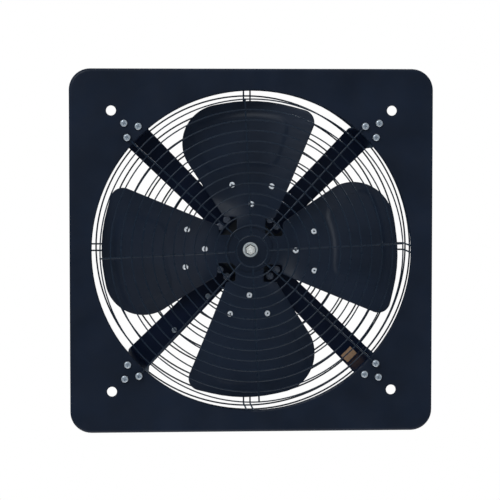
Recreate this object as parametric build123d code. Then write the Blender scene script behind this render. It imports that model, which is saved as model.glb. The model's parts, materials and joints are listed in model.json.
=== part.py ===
from build123d import *
from build123d.topology import SkipClean
import os
from math import atan, cos, degrees, hypot, pi, radians, sin, tan

# Exhaust hood fan, millimetres. The fan axis is Y: the front (guard side) faces -Y, the motor is at +Y.
# +X is to the right and +Z is up as seen from the front. Angles run counter-clockwise from +X in that view.
# The origin is on the fan axis, on the back face of the mounting plate's sheet.

# ---------------------------------------------------------------- driving dimensions

PLATE_SIZE = 480.0
PLATE_CORNER_R = 28.0
SHEET = 1.5
FOLD_DEPTH = 16.0
FOLD_BEND_R = 4.0
OPENING_R = 211.0
LIP_BEND_R = 2.5
PLATE_FRONT = -SHEET
MOUNT_SPACING = 370.0
MOUNT_HOLE_R = 6.5

ARM_ANGLES = {"top_right": 45, "top_left": 135, "bottom_left": 225, "bottom_right": 315}
ARM_THICK = 3.0
ARM_FLAT_Y = 78.0
ARM_BEND_R = 3.0
ARM_FOOT_BEND_R = 3.0
ARM_TIP_R = 39.0
ARM_END_R = 247.0
ARM_CRANK = [(215.2, ARM_THICK / 2), (212.8, 9.5), (210.3, ARM_FLAT_Y)]
ARM_WIDTH_TIP = 29.0
ARM_WIDTH_RIM = 36.5
ARM_SCREW_PLACES = [(238.0, 0.0), (222.0, 10.4), (222.0, -10.4)]
ARM_BOLT_R = 48.0
ARM_BOLT_SIDE = 6.5

M5_R = 2.5
M5_HOLE_R = 2.75
PAN_HEAD_R = 4.65
PAN_HEAD_H = 3.3
M5_NUT_FLATS = 8.0
M5_NUT_H = 4.0
M5_BOLT_HEAD_H = 3.5
LOCK_WASHER_R = 4.6
LOCK_WASHER_H = 1.3
M4_R = 2.0
M4_HOLE_R = 2.1
M4_HEAD_R = 3.6
M4_HEAD_H = 2.4
M4_NUT_FLATS = 7.0
M4_NUT_H = 3.2
NUT_FIT = 0.05
WASHER_FIT = 0.1
THREAD_SHOW = 2.0

FRONT_RING_FIRST_R = 20.9
FRONT_RING_PITCH = 13.78
FRONT_RING_COUNT = 14
FRONT_RING_WIRE_R = 0.9
FRONT_SPOKE_WIRE_R = 1.1
FRONT_SPOKE_TURN = degrees(atan(ARM_SCREW_PLACES[1][1] / ARM_SCREW_PLACES[1][0]))
GUARD_GAP = 0.05
WELD_BITE = 0.25

REAR_RING_FIRST_R = 70.4
REAR_RING_PITCH = 20.2
REAR_RING_COUNT = 7
REAR_OUTER_RING_R = 206.7
REAR_WIRE_R = 1.1
REAR_PAIR_SPACING = 9.0
REAR_GUARD_Y = 110.0
REAR_CORNER_RING_Y = 104.0
REAR_SIDE_RING_Y = 64.0
REAR_SIDE_R = 216.5
REAR_BEND_R = 3.4
REAR_FOOT_BEND_R = 3.0
REAR_END_PAST_RING = 1.8
REAR_FOOT_R = 224.5
GUARD_STUD_LENGTH = 12.0
GUARD_WASHER_R = 5.5

TIP_R = 198.5
BLADE_SHEET = 1.5
BLADE_MID_Y = 34.0
BLADE_ANGLES = [-1.7, 88.3, 178.3, 268.3]
BLADE_ROOT_R = 30.3
BLADE_NECK_HALF = 19.0
BLADE_NECK_END = 43.0
BLADE_NECK_R = 3.0
BLADE_HEEL_R = 5.0
BLADE_START = 23.0
BLADE_STRAIGHT_EDGE = (-0.379, -14.7)
BLADE_FLARED_EDGE = (0.698, 6.9)
BLADE_SIDE = 94.0
BLADE_TIP_CORNER_R = 17.0
BLADE_TIP_SHOULDER_R = 52.0
BLADE_SIDE_R = 50.0
TIP_TANGENT_ANGLES = (-14.0, 12.0)
SPIDER_SHEET = 2.5
SPIDER_DISC_R = 30.0
SPIDER_GAP = 0.1
SPIDER_NECK_START_R = 24.0
SPIDER_NECK_END_R = 62.0
SPIDER_NECK_HALF = 15.0
SPIDER_PAD_START_R = 80.0
SPIDER_PAD_END_R = 97.0
SPIDER_PAD_HALF = 36.0
SPIDER_OFFSET = (BLADE_SHEET + SPIDER_SHEET) / 2 + SPIDER_GAP
SPIDER_FRONT_Y = BLADE_MID_Y + SPIDER_OFFSET - SPIDER_SHEET / 2
SPIDER_BACK_Y = SPIDER_FRONT_Y + SPIDER_SHEET
RIVET_HEAD_R = 3.9
RIVET_HEAD_H = 1.5
RIVET_SHANK_R = 2.4
RIVET_SEAT_GAP = 0.12
RIVET_PLACES = [(61.0, 0.0), (89.5, 16.7), (89.5, -16.7)]

SHAFT_R = 6.0
THREAD_R = 4.0
THREAD_HOLE_R = 4.05
SHAFT_FIT = 0.02
HUB_R = 17.0
HUB_BACK_Y = 62.0
HUB_WEB = 2.0
HUB_FLANGE_R = 21.0
GRUB_SCREW_Y = 52.0
GRUB_SCREW_R = 3.0
GRUB_SOCKET_R = 1.5
WASHER_R = 9.9
WASHER_H = 1.6
HUB_NUT_FLATS = 13.0
HUB_NUT_H = 6.5

MOTOR_R = 56.0
HOUSING_SHEET = 1.5
SHIELD_WALL = 4.0
MOTOR_FRONT_Y = ARM_FLAT_Y + ARM_THICK / 2
FRONT_SHIELD_END_Y = 99.0
REAR_SHIELD_START_Y = 152.0
MOTOR_BACK_Y = 173.0
BOSS_R = 22.0
BOSS_FRONT_Y = 70.0
BEARING_OUT_R = 16.0
BEARING_WIDTH = 10.0
BALL_R = 2.97
BALL_PITCH_R = 11.2
BALL_COUNT = 7
CAGE_IN_R = 10.5
CAGE_OUT_R = 11.9
CAGE_HALF_WIDTH = 3.9
GROOVE_R = 3.1
RACE_INNER_R = 9.3
RACE_OUTER_R = 13.1
FRONT_BEARING_Y = 83.0
REAR_BEARING_Y = 156.0
WAVE_SPRING_H = 1.6
STATOR_FRONT_Y = 110.0
STATOR_BACK_Y = 141.0
STATOR_BORE_R = 32.0
AIR_GAP = 0.4
SLOT_COUNT = 24
TIE_BOLT_R = 60.5
TIE_EAR_R = 5.0
TIE_EAR_LENGTH = 10.0

LEAD_R = 2.5
CLIP_SHEET = 1.0
CLIP_WIDTH = 9.0
CLIP_PLACES_R = [85.0, 150.0]
CLIP_SCREW_SIDE = 7.5
CLIP_TAB_END = 5.0
LEAD_REST_Y = MOTOR_FRONT_Y + CLIP_SHEET + LEAD_R + 0.1
LEAD_SIDE = -2.5
LEAD_EXIT_Y = 91.6
LEAD_LANDING_R = 74.5
LEAD_LEAVING_R = 213.0
# Corners of the lead beside the arm's crank: (radius, shift sideways, y).
LEAD_BESIDE_CRANK = [(223.0, 2.0, 70.0), (224.0, 7.0, 30.0)]
GROMMET_R = 4.4
GROMMET_FLANGE_R = 5.7
LEAD_FIT = 0.1

BOX_LOW = (-222.0, 0.0, -160.0)
BOX_HIGH = (-190.0, 34.0, -104.0)
BOX_WALL = 2.0
BOX_CORNER_R = 3.0
BOX_MID_X = (BOX_LOW[0] + BOX_HIGH[0]) / 2
BOX_STUD_Z = (-138.0, -112.0)
LID_SHEET = 2.0
LID_SCREW_R = 1.25
LID_SCREW_EDGE = 5.0
LID_SCREW_X = (BOX_LOW[0] + LID_SCREW_EDGE, BOX_HIGH[0] - LID_SCREW_EDGE)
LID_SCREW_Z = (BOX_LOW[2] + LID_SCREW_EDGE, BOX_HIGH[2] - LID_SCREW_EDGE)
GLAND_R = 5.5
GLAND_THREAD_R = 4.45
LEAD_GLAND_PLACE = (BOX_HIGH[0], 21.0, -144.0)
SUPPLY_GLAND_PLACE = (BOX_MID_X, 21.0, BOX_HIGH[2])

LABEL_SIZE = (13.0, 18.0, 0.2)
LABEL_PLACE = (200.8, -6.0)

# ---------------------------------------------------------------- helpers


def face_plane(y):
    """Sketch plane across the fan axis, with local x along +X and local y along +Z, facing the front."""
    return Plane(origin=(0, y, 0), x_dir=(1, 0, 0), z_dir=(0, -1, 0))


def slab(sketch, y_front, y_back):
    """A sketch of the front view, extruded along the fan axis from y_front to y_back."""
    return extrude(face_plane(y_back) * sketch, amount=y_back - y_front, dir=(0, -1, 0))


def disc(radius, y_front, y_back, x=0.0, z=0.0):
    return slab(Pos(x, z) * Circle(radius), y_front, y_back)


def tube(r_out, r_in, y_front, y_back, x=0.0, z=0.0):
    return slab(Pos(x, z) * (Circle(r_out) - Circle(r_in)), y_front, y_back)


def turned(points):
    """A turned piece about the fan axis from (radius, y) points."""
    return revolve(make_face(Polyline(*points, close=True)), Axis.Y)


def turn(shape, angle):
    """Turn a shape about the fan axis, counter-clockwise in the front view."""
    return Rot(0, -angle, 0) * shape


def at_place(shape, r, side, angle):
    """Place a shape built on the fan axis at (r, side) in the frame of the arm at this angle."""
    return turn(Pos(r, 0, side) * shape, angle)


def arm_point(angle, r, side, y):
    a = radians(angle)
    return (r * cos(a) - side * sin(a), y, r * sin(a) + side * cos(a))


def rod(start, end, radius):
    line = Edge.make_line(start, end)
    section = Plane(origin=start, z_dir=line.tangent_at(0)) * Circle(radius)
    return extrude(section, amount=line.length)


def torus_ring(major_r, wire_r, y):
    return Pos(0, y, 0) * Rot(90, 0, 0) * Torus(major_r, wire_r)


def hex_slab(flats, y_front, y_back, hole_r=0.0):
    sketch = RegularPolygon(flats / 2, 6, major_radius=False)
    if hole_r:
        sketch = sketch - Circle(hole_r)
    return slab(sketch, y_front, y_back)


def hex_nut(flats, y_front, y_back, hole_r):
    """A hexagon nut with both faces chamfered round."""
    corner_r = flats / 3**0.5
    chamfer = (corner_r - flats / 2) * 0.6
    envelope = turned(
        [
            (0, y_front),
            (flats / 2, y_front),
            (corner_r + 0.01, y_front + chamfer),
            (corner_r + 0.01, y_back - chamfer),
            (flats / 2, y_back),
            (0, y_back),
        ]
    )
    return hex_slab(flats, y_front, y_back, hole_r) & envelope


def pan_screw(seat_y, shank_r, tip_y, head_r, head_h):
    """A pan-head screw along the axis, its head in front of seat_y, with a cross recess."""
    head = disc(head_r, seat_y - head_h, seat_y)
    head = fillet(head.faces().sort_by(Axis.Y)[0].edges(), head_h * 0.55)
    recess_depth = head_h * 0.6
    bar = Rectangle(head_r * 1.1, head_r * 0.26)
    cross = bar + Rot(0, 0, 90) * bar
    head = head - slab(Rot(0, 0, 30) * cross, seat_y - head_h, seat_y - head_h + recess_depth)
    return head + chamfer_tip(disc(shank_r, seat_y, tip_y), shank_r)


def chamfer_tip(shank, radius):
    """Break the edge at the back end of a shank."""
    return chamfer(shank.faces().sort_by(Axis.Y)[-1].edges(), radius * 0.25)


def group(shapes):
    """Separate solids that share one node."""
    return Compound([solid for shape in shapes for solid in shape.solids()])


def write(name, shape):
    export_step(shape, f"parts/{name}.step")


# ---------------------------------------------------------------- mounting plate


def rounded_square(size, corner_r):
    return RectangleRounded(size, size, corner_r)


def plate_screw_holes():
    holes = [
        at_place(disc(M5_HOLE_R, PLATE_FRONT - 1, 1), r, side, angle)
        for angle in ARM_ANGLES.values()
        for r, side in ARM_SCREW_PLACES
    ]
    half = MOUNT_SPACING / 2
    mounts = [disc(MOUNT_HOLE_R, PLATE_FRONT - 1, 1, x, z) for x in (-half, half) for z in (-half, half)]
    return holes + mounts


def opening_lip():
    """The rolled edge of the opening: a quarter turn of the sheet towards the back."""
    centre = (OPENING_R + LIP_BEND_R, PLATE_FRONT + LIP_BEND_R)
    inner_r = LIP_BEND_R - SHEET
    profile = make_face(
        [
            CenterArc(centre, LIP_BEND_R, 180, 90),
            Line((centre[0], PLATE_FRONT), (centre[0], PLATE_FRONT + SHEET)),
            CenterArc(centre, inner_r, 270, -90),
            Line((centre[0] - inner_r, centre[1]), (OPENING_R, centre[1])),
        ]
    )
    return revolve(profile, Axis.Y)


def mounting_plate():
    outer = slab(rounded_square(PLATE_SIZE, PLATE_CORNER_R), PLATE_FRONT, FOLD_DEPTH)
    outer = fillet(outer.faces().sort_by(Axis.Y)[0].edges(), FOLD_BEND_R)
    inner_size = PLATE_SIZE - 2 * SHEET
    inner = slab(rounded_square(inner_size, PLATE_CORNER_R - SHEET), 0, FOLD_DEPTH)
    inner = fillet(inner.faces().sort_by(Axis.Y)[0].edges(), FOLD_BEND_R - SHEET)
    plate = outer - inner - disc(OPENING_R + LIP_BEND_R, PLATE_FRONT - 1, 1)
    plate = plate - plate_screw_holes()
    return plate + opening_lip()


# ---------------------------------------------------------------- motor arms and their screws


def arm_half_width(r):
    share = (r - ARM_TIP_R) / (OPENING_R - ARM_TIP_R)
    return (ARM_WIDTH_TIP + (ARM_WIDTH_RIM - ARM_WIDTH_TIP) * share) / 2


def arm_outline():
    tip, rim = arm_half_width(ARM_TIP_R), arm_half_width(OPENING_R)
    outline = Polygon(
        (ARM_TIP_R, -tip),
        (OPENING_R, -rim),
        (ARM_END_R, -rim),
        (ARM_END_R, rim),
        (OPENING_R, rim),
        (ARM_TIP_R, tip),
        align=None,
    )
    foot_corners = outline.vertices().filter_by(lambda v: v.X > ARM_END_R - 1)
    outline = fillet(foot_corners, 10.0)
    tip_corners = outline.vertices().filter_by(lambda v: v.X < ARM_TIP_R + 1)
    return fillet(tip_corners, 4.0)


def arm(angle):
    """A strap: foot on the plate's back, cranked through the opening, then flat to the motor."""
    path = FilletPolyline(
        (ARM_END_R, ARM_THICK / 2),
        *ARM_CRANK,
        (ARM_TIP_R, ARM_FLAT_Y),
        radius=[ARM_FOOT_BEND_R, ARM_BEND_R, ARM_BEND_R],
    )
    strap = extrude(trace(path, line_width=ARM_THICK), amount=ARM_WIDTH_RIM, both=True)
    strap = strap & slab(arm_outline(), PLATE_FRONT, ARM_FLAT_Y + ARM_THICK)
    holes = [Pos(r, 0, side) * disc(M5_HOLE_R, -1, ARM_THICK + 1) for r, side in ARM_SCREW_PLACES]
    for side in (-ARM_BOLT_SIDE, ARM_BOLT_SIDE):
        holes.append(Pos(ARM_BOLT_R, 0, side) * disc(M5_HOLE_R, ARM_FLAT_Y - ARM_THICK, ARM_FLAT_Y + ARM_THICK))
    if angle == ARM_ANGLES["bottom_left"]:
        for r in CLIP_PLACES_R:
            holes.append(
                Pos(r, 0, CLIP_SCREW_SIDE) * disc(M4_HOLE_R, ARM_FLAT_Y - ARM_THICK, ARM_FLAT_Y + ARM_THICK)
            )
    return turn(strap - holes, angle)


def holds_guard(place):
    """The screw counter-clockwise of each arm's middle also holds a foot of the front guard."""
    return place[1] > 0


def arm_fasteners():
    screws, washers, nuts = [], [], []
    washer_back = ARM_THICK + LOCK_WASHER_H
    nut_back = washer_back + M5_NUT_H
    tip = nut_back + THREAD_SHOW
    washer = tube(LOCK_WASHER_R, M5_R + WASHER_FIT, ARM_THICK, washer_back)
    nut = hex_nut(M5_NUT_FLATS, washer_back, nut_back, M5_R + NUT_FIT)
    foot_height = GUARD_GAP * 2 + 2 * FRONT_SPOKE_WIRE_R
    for angle in ARM_ANGLES.values():
        for place in ARM_SCREW_PLACES:
            seat = PLATE_FRONT - (foot_height if holds_guard(place) else 0)
            screws.append(at_place(pan_screw(seat, M5_R, tip, PAN_HEAD_R, PAN_HEAD_H), *place, angle))
            washers.append(at_place(washer, *place, angle))
            nuts.append(at_place(nut, *place, angle))
    return group(screws), group(washers), group(nuts)


def arm_motor_bolts():
    """Two hexagon bolts and washers hold each arm to the motor's front shield."""
    bolts, washers = [], []
    seat = ARM_FLAT_Y - ARM_THICK / 2
    head_seat = seat - 1.0
    washer = tube(LOCK_WASHER_R + 0.3, M5_HOLE_R, head_seat, seat)
    head = hex_nut(M5_NUT_FLATS, head_seat - M5_BOLT_HEAD_H, head_seat, 0)
    bolt = head + disc(M5_R, head_seat, MOTOR_FRONT_Y + 6)
    for angle in ARM_ANGLES.values():
        for side in (-ARM_BOLT_SIDE, ARM_BOLT_SIDE):
            bolts.append(at_place(bolt, ARM_BOLT_R, side, angle))
            washers.append(at_place(washer, ARM_BOLT_R, side, angle))
    return group(bolts), group(washers)


# ---------------------------------------------------------------- guards


def front_guard():
    spoke_y = PLATE_FRONT - GUARD_GAP - FRONT_SPOKE_WIRE_R
    ring_y = spoke_y - FRONT_SPOKE_WIRE_R - FRONT_RING_WIRE_R + WELD_BITE
    rings = [
        torus_ring(FRONT_RING_FIRST_R + k * FRONT_RING_PITCH, FRONT_RING_WIRE_R, ring_y)
        for k in range(FRONT_RING_COUNT)
    ]
    last_r = FRONT_RING_FIRST_R + (FRONT_RING_COUNT - 1) * FRONT_RING_PITCH
    screw_r = hypot(*ARM_SCREW_PLACES[1])
    eye_r = M5_R + FRONT_SPOKE_WIRE_R + 0.2
    spokes = []
    for quarter in range(4):
        short_angle = 90 * quarter + FRONT_SPOKE_TURN
        start_r = FRONT_RING_FIRST_R - FRONT_SPOKE_WIRE_R
        short = rod((start_r, spoke_y, 0), (last_r + FRONT_SPOKE_WIRE_R, spoke_y, 0), FRONT_SPOKE_WIRE_R)
        spokes.append(turn(short, short_angle))
        long_spoke = rod((start_r, spoke_y, 0), (screw_r - eye_r, spoke_y, 0), FRONT_SPOKE_WIRE_R)
        eye = Pos(screw_r, 0, 0) * torus_ring(eye_r, FRONT_SPOKE_WIRE_R, spoke_y)
        spokes.append(turn(long_spoke + eye, short_angle + 45))
    guard = spokes[0]
    for piece in spokes[1:] + rings:
        guard = guard + piece
    return guard


def bent_wire(path, wire_r):
    """A round wire along straight runs and tangent arcs, one analytic piece for each run and arc."""
    pieces = []
    for edge in path.edges():
        section = Plane(origin=edge @ 0, z_dir=edge % 0) * Circle(wire_r)
        if edge.geom_type == GeomType.LINE:
            pieces.append(extrude(section, amount=edge.length))
        else:
            pieces.append(sweep(section, path=edge))
    return pieces[0] + pieces[1:]


def quarter_ring(ring_r, wire_r, y):
    """A quarter turn of a ring of wire, centred on +X."""
    section = Plane(origin=(ring_r, y, 0), z_dir=(0, 0, 1)) * Circle(wire_r)
    return turn(revolve(section, Axis.Y, 90), 45)


def rear_guard_quarter():
    """A hairpin of wire over its quarter of the rings, forward at the side and round its stud."""
    half = REAR_PAIR_SPACING / 2
    foot_y = REAR_WIRE_R + GUARD_GAP
    wires = []
    for side in (-half, half):
        path = FilletPolyline(
            (REAR_RING_FIRST_R - REAR_END_PAST_RING, REAR_GUARD_Y, side),
            (REAR_SIDE_R, REAR_GUARD_Y, side),
            (REAR_SIDE_R, foot_y, side),
            (REAR_FOOT_R, foot_y, side),
            radius=[REAR_BEND_R, REAR_FOOT_BEND_R],
        )
        wires.append(bent_wire(path, REAR_WIRE_R))
    eye = torus_ring(half, REAR_WIRE_R, foot_y) & Pos(half, foot_y, 0) * Box(2 * half, 20, 4 * half)
    quarter = wires[0] + wires[1] + Pos(REAR_FOOT_R, 0, 0) * eye
    ring_y = REAR_GUARD_Y + 2 * REAR_WIRE_R - WELD_BITE
    ring_radii = [REAR_RING_FIRST_R + k * REAR_RING_PITCH for k in range(REAR_RING_COUNT)]
    for ring_r in [*ring_radii, REAR_OUTER_RING_R]:
        quarter = quarter + quarter_ring(ring_r, REAR_WIRE_R, ring_y)
    corner_r = REAR_SIDE_R + 2 * REAR_WIRE_R - WELD_BITE
    return quarter + quarter_ring(corner_r, REAR_WIRE_R, REAR_CORNER_RING_Y)


def rear_guard():
    """Four quarters joined, keeping the seams between them, so that no face is a whole torus with holes."""
    quarter = rear_guard_quarter()
    with SkipClean():
        return quarter + [turn(quarter, 90 * k) for k in (1, 2, 3)]


def rear_guard_side_ring():
    """A ring round the outside of the hairpins' legs, half way along the basket's side."""
    return torus_ring(REAR_SIDE_R + 2 * REAR_WIRE_R + GUARD_GAP, REAR_WIRE_R, REAR_SIDE_RING_Y)


def guard_fasteners():
    """Weld studs on the plate's back, with a washer and nut over each foot of the rear guard."""
    studs, washers, nuts = [], [], []
    foot_back = 2 * (REAR_WIRE_R + GUARD_GAP)
    washer_back = foot_back + LOCK_WASHER_H
    washer = tube(GUARD_WASHER_R, M5_R + WASHER_FIT, foot_back, washer_back)
    nut = hex_nut(M5_NUT_FLATS, washer_back, washer_back + M5_NUT_H, M5_R + NUT_FIT)
    for quarter in range(4):
        angle = 90 * quarter
        studs.append(at_place(disc(M5_R, 0, GUARD_STUD_LENGTH), REAR_FOOT_R, 0, angle))
        washers.append(at_place(washer, REAR_FOOT_R, 0, angle))
        nuts.append(at_place(nut, REAR_FOOT_R, 0, angle))
    return group(studs), group(washers), group(nuts)


# ---------------------------------------------------------------- impeller

# Pitch of the twisted sheet at stations along the blade: (radius, angle in degrees).
PITCH_STATIONS = [(10, 0), (30, 3), (61, 22), (85.7, 23.5), (150, 18), (205, 13.5)]


def twisted_sheet(thickness, offset):
    """A twisted strip along +X, wider than any blade, offset towards the back from the blade's mid surface."""
    sections = []
    for r, pitch in PITCH_STATIONS:
        p = radians(pitch)
        station = Plane(origin=(r, BLADE_MID_Y, 0), x_dir=(0, sin(p), cos(p)), z_dir=(1, 0, 0))
        sections.append(station * Pos(0, -offset) * Rectangle(220, thickness))
    return loft(sections)


def tip_corner(slope, offset):
    """Where the straight line side = offset + slope * along meets the tip circle's tangent line."""
    a = radians(TIP_TANGENT_ANGLES[0] if offset < 0 else TIP_TANGENT_ANGLES[1])
    along = (TIP_R - offset * sin(a)) / (cos(a) + slope * sin(a))
    return along, offset + slope * along


def blade_outline():
    """Flat outline in (along the blade, sideways); sideways is positive counter-clockwise."""
    low, high = (radians(angle) for angle in TIP_TANGENT_ANGLES)
    middle_r = TIP_R / cos((high - low) / 2)
    tip_middle = (middle_r * cos((low + high) / 2), middle_r * sin((low + high) / 2))
    straight_slope, straight_offset = BLADE_STRAIGHT_EDGE
    flare_slope, flare_offset = BLADE_FLARED_EDGE
    shoulder = ((BLADE_SIDE - flare_offset) / flare_slope, BLADE_SIDE)
    path = FilletPolyline(
        (BLADE_START, -BLADE_NECK_HALF),
        (BLADE_NECK_END, -BLADE_NECK_HALF),
        (BLADE_NECK_END, straight_offset + straight_slope * BLADE_NECK_END),
        tip_corner(straight_slope, straight_offset),
        tip_middle,
        tip_corner(0, BLADE_SIDE),
        shoulder,
        (BLADE_NECK_END, flare_offset + flare_slope * BLADE_NECK_END),
        (BLADE_NECK_END, BLADE_NECK_HALF),
        (BLADE_START, BLADE_NECK_HALF),
        radius=[
            BLADE_NECK_R,
            BLADE_HEEL_R,
            BLADE_TIP_CORNER_R,
            TIP_R,
            BLADE_TIP_SHOULDER_R,
            BLADE_SIDE_R,
            BLADE_HEEL_R,
            BLADE_NECK_R,
        ],
    )
    return make_face(path + Line(path @ 1, path @ 0)) - Circle(BLADE_ROOT_R)


def blade(angle):
    sheet = twisted_sheet(BLADE_SHEET, 0) & slab(blade_outline(), -30, 90)
    return turn(sheet - rivet_holes(), angle)


def pitch_at(r):
    """The sheet's pitch at this radius, between the stations."""
    for (r_low, p_low), (r_high, p_high) in zip(PITCH_STATIONS, PITCH_STATIONS[1:]):
        if r_low <= r <= r_high:
            return p_low + (p_high - p_low) * (r - r_low) / (r_high - r_low)
    return PITCH_STATIONS[-1][1]


def rivet_frame(r, angle):
    """Plane on the blade's mid surface at a rivet, with its normal towards the front."""
    along, side = r * cos(radians(angle)), r * sin(radians(angle))
    p = radians(pitch_at(along))
    return Plane(
        origin=(along, BLADE_MID_Y + side * tan(p), side),
        x_dir=(1, 0, 0),
        z_dir=(0, -cos(p), sin(p)),
    )


def rivet_holes():
    return [
        rivet_frame(r, angle) * Cylinder(RIVET_SHANK_R + 0.1, 16.0)
        for r, angle in RIVET_PLACES
    ]


def blade_rivet(r, angle):
    """A pop rivet: domed head with a hollow mandrel hole in front, set bulb behind the spider."""
    front = BLADE_SHEET / 2 + RIVET_SEAT_GAP
    back = -(BLADE_SHEET / 2 + SPIDER_GAP + SPIDER_SHEET + RIVET_SEAT_GAP)
    head = Pos(0, 0, front + RIVET_HEAD_H / 2) * Cylinder(RIVET_HEAD_R, RIVET_HEAD_H)
    head = fillet(head.faces().sort_by(Axis.Z)[-1].edges(), RIVET_HEAD_H * 0.6)
    shank = Pos(0, 0, (front + back) / 2) * Cylinder(RIVET_SHANK_R, front - back)
    bulb = Pos(0, 0, back - 1.25) * Cylinder(RIVET_SHANK_R + 1.1, 2.5)
    bulb = fillet(bulb.faces().sort_by(Axis.Z)[0].edges(), 1.0)
    mandrel_hole = Pos(0, 0, front + RIVET_HEAD_H - 1.5) * Cylinder(1.3, 3.0)
    return rivet_frame(r, angle) * (head + shank + bulb - mandrel_hole)


def blade_rivets():
    return group(turn(blade_rivet(*place), angle) for angle in BLADE_ANGLES for place in RIVET_PLACES)


def spider_arm_outline():
    """A neck from the disc out to a wide pad that takes the blade's three rivets."""
    half_outline = [
        (SPIDER_NECK_START_R, SPIDER_NECK_HALF),
        (SPIDER_NECK_END_R, SPIDER_NECK_HALF),
        (SPIDER_PAD_START_R, SPIDER_PAD_HALF),
        (SPIDER_PAD_END_R, SPIDER_PAD_HALF),
    ]
    mirrored = [(r, -side) for r, side in reversed(half_outline)]
    outline = Polygon(*half_outline, *mirrored, align=None)
    pad_corners = outline.vertices().filter_by(lambda v: v.X > SPIDER_NECK_END_R + 1)
    return fillet(pad_corners, 5.0)


def hub_spider():
    spider = disc(SPIDER_DISC_R, SPIDER_FRONT_Y, SPIDER_BACK_Y)
    spider_arm = twisted_sheet(SPIDER_SHEET, SPIDER_OFFSET) & slab(spider_arm_outline(), 0, 90)
    spider_arm = spider_arm - rivet_holes()
    for angle in BLADE_ANGLES:
        spider = spider + turn(spider_arm, angle)
    return spider - disc(THREAD_HOLE_R, 0, 90)


def hub_boss():
    """Turned boss behind the spider, with a web that the shaft's shoulder bears on."""
    boss = turned(
        [
            (THREAD_HOLE_R, SPIDER_BACK_Y),
            (HUB_FLANGE_R, SPIDER_BACK_Y),
            (HUB_FLANGE_R, SPIDER_BACK_Y + 3),
            (HUB_R, SPIDER_BACK_Y + 5),
            (HUB_R, HUB_BACK_Y - 1),
            (HUB_R - 1, HUB_BACK_Y),
            (SHAFT_R + SHAFT_FIT, HUB_BACK_Y),
            (SHAFT_R + SHAFT_FIT, SPIDER_BACK_Y + HUB_WEB),
            (THREAD_HOLE_R, SPIDER_BACK_Y + HUB_WEB),
        ]
    )
    grub_bore = rod((SHAFT_R - 2, GRUB_SCREW_Y, 0), (HUB_R + 2, GRUB_SCREW_Y, 0), GRUB_SCREW_R + NUT_FIT)
    return boss - grub_bore


def hub_grub_screw():
    outer_end = (HUB_R - 1, GRUB_SCREW_Y, 0)
    screw = rod((SHAFT_R + SHAFT_FIT, GRUB_SCREW_Y, 0), outer_end, GRUB_SCREW_R)
    socket = Plane(origin=outer_end, z_dir=(-1, 0, 0)) * RegularPolygon(GRUB_SOCKET_R, 6, major_radius=False)
    return screw - extrude(socket, amount=3.0)


def motor_shaft():
    washer_front = SPIDER_FRONT_Y - WASHER_H
    end = washer_front - HUB_NUT_H - 3.0
    shoulder = SPIDER_BACK_Y + HUB_WEB + 0.02
    return turned(
        [
            (0, end),
            (THREAD_R - 0.8, end),
            (THREAD_R, end + 0.8),
            (THREAD_R, shoulder),
            (SHAFT_R, shoulder),
            (SHAFT_R, REAR_BEARING_Y + BEARING_WIDTH + 2),
            (SHAFT_R - 1, REAR_BEARING_Y + BEARING_WIDTH + 3),
            (0, REAR_BEARING_Y + BEARING_WIDTH + 3),
        ]
    )


def hub_washer():
    return tube(WASHER_R, THREAD_HOLE_R + WASHER_FIT, SPIDER_FRONT_Y - WASHER_H, SPIDER_FRONT_Y)


def hub_nut():
    back = SPIDER_FRONT_Y - WASHER_H
    return hex_nut(HUB_NUT_FLATS, back - HUB_NUT_H, back, THREAD_R + SHAFT_FIT)


# ---------------------------------------------------------------- bearings


def bearing(y_front):
    """Deep-groove ball bearing: outer ring, inner ring, balls and cage."""
    y_back = y_front + BEARING_WIDTH
    y_mid = y_front + BEARING_WIDTH / 2
    groove = torus_ring(BALL_PITCH_R, GROOVE_R, y_mid)
    outer = tube(BEARING_OUT_R - SHAFT_FIT, RACE_OUTER_R, y_front, y_back) - groove
    inner = tube(RACE_INNER_R, SHAFT_R + SHAFT_FIT, y_front, y_back) - groove
    steps = [turn(Pos(BALL_PITCH_R, y_mid, 0), k * 360 / BALL_COUNT) for k in range(BALL_COUNT)]
    balls = group(step * Sphere(BALL_R) for step in steps)
    cage = tube(CAGE_OUT_R, CAGE_IN_R, y_mid - CAGE_HALF_WIDTH, y_mid + CAGE_HALF_WIDTH)
    pocket = rod((CAGE_IN_R - 2, y_mid, 0), (CAGE_OUT_R + 2, y_mid, 0), BALL_R + 0.1)
    cage = cage - [turn(pocket, k * 360 / BALL_COUNT) for k in range(BALL_COUNT)]
    return outer, inner, balls, cage


# ---------------------------------------------------------------- motor


def tie_bolt_angles():
    return [90 * quarter for quarter in range(4)]


def tie_ears(y_front, y_back):
    """Four ears on the shield's rim, which the tie bolts pass through."""
    neck = Pos(TIE_BOLT_R - TIE_EAR_R, 0) * Rectangle(2 * TIE_EAR_R, 2 * TIE_EAR_R)
    sketch = Pos(TIE_BOLT_R, 0) * Circle(TIE_EAR_R) + neck
    ear = slab(sketch, y_front, y_back) - disc(MOTOR_R - 1, y_front - 1, y_back + 1)
    ears = [turn(ear, angle) for angle in tie_bolt_angles()]
    return ears[0] + ears[1:]


def tie_bolt_holes(y_front, y_back):
    return [at_place(disc(M4_HOLE_R, y_front, y_back), TIE_BOLT_R, 0, angle) for angle in tie_bolt_angles()]


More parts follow.
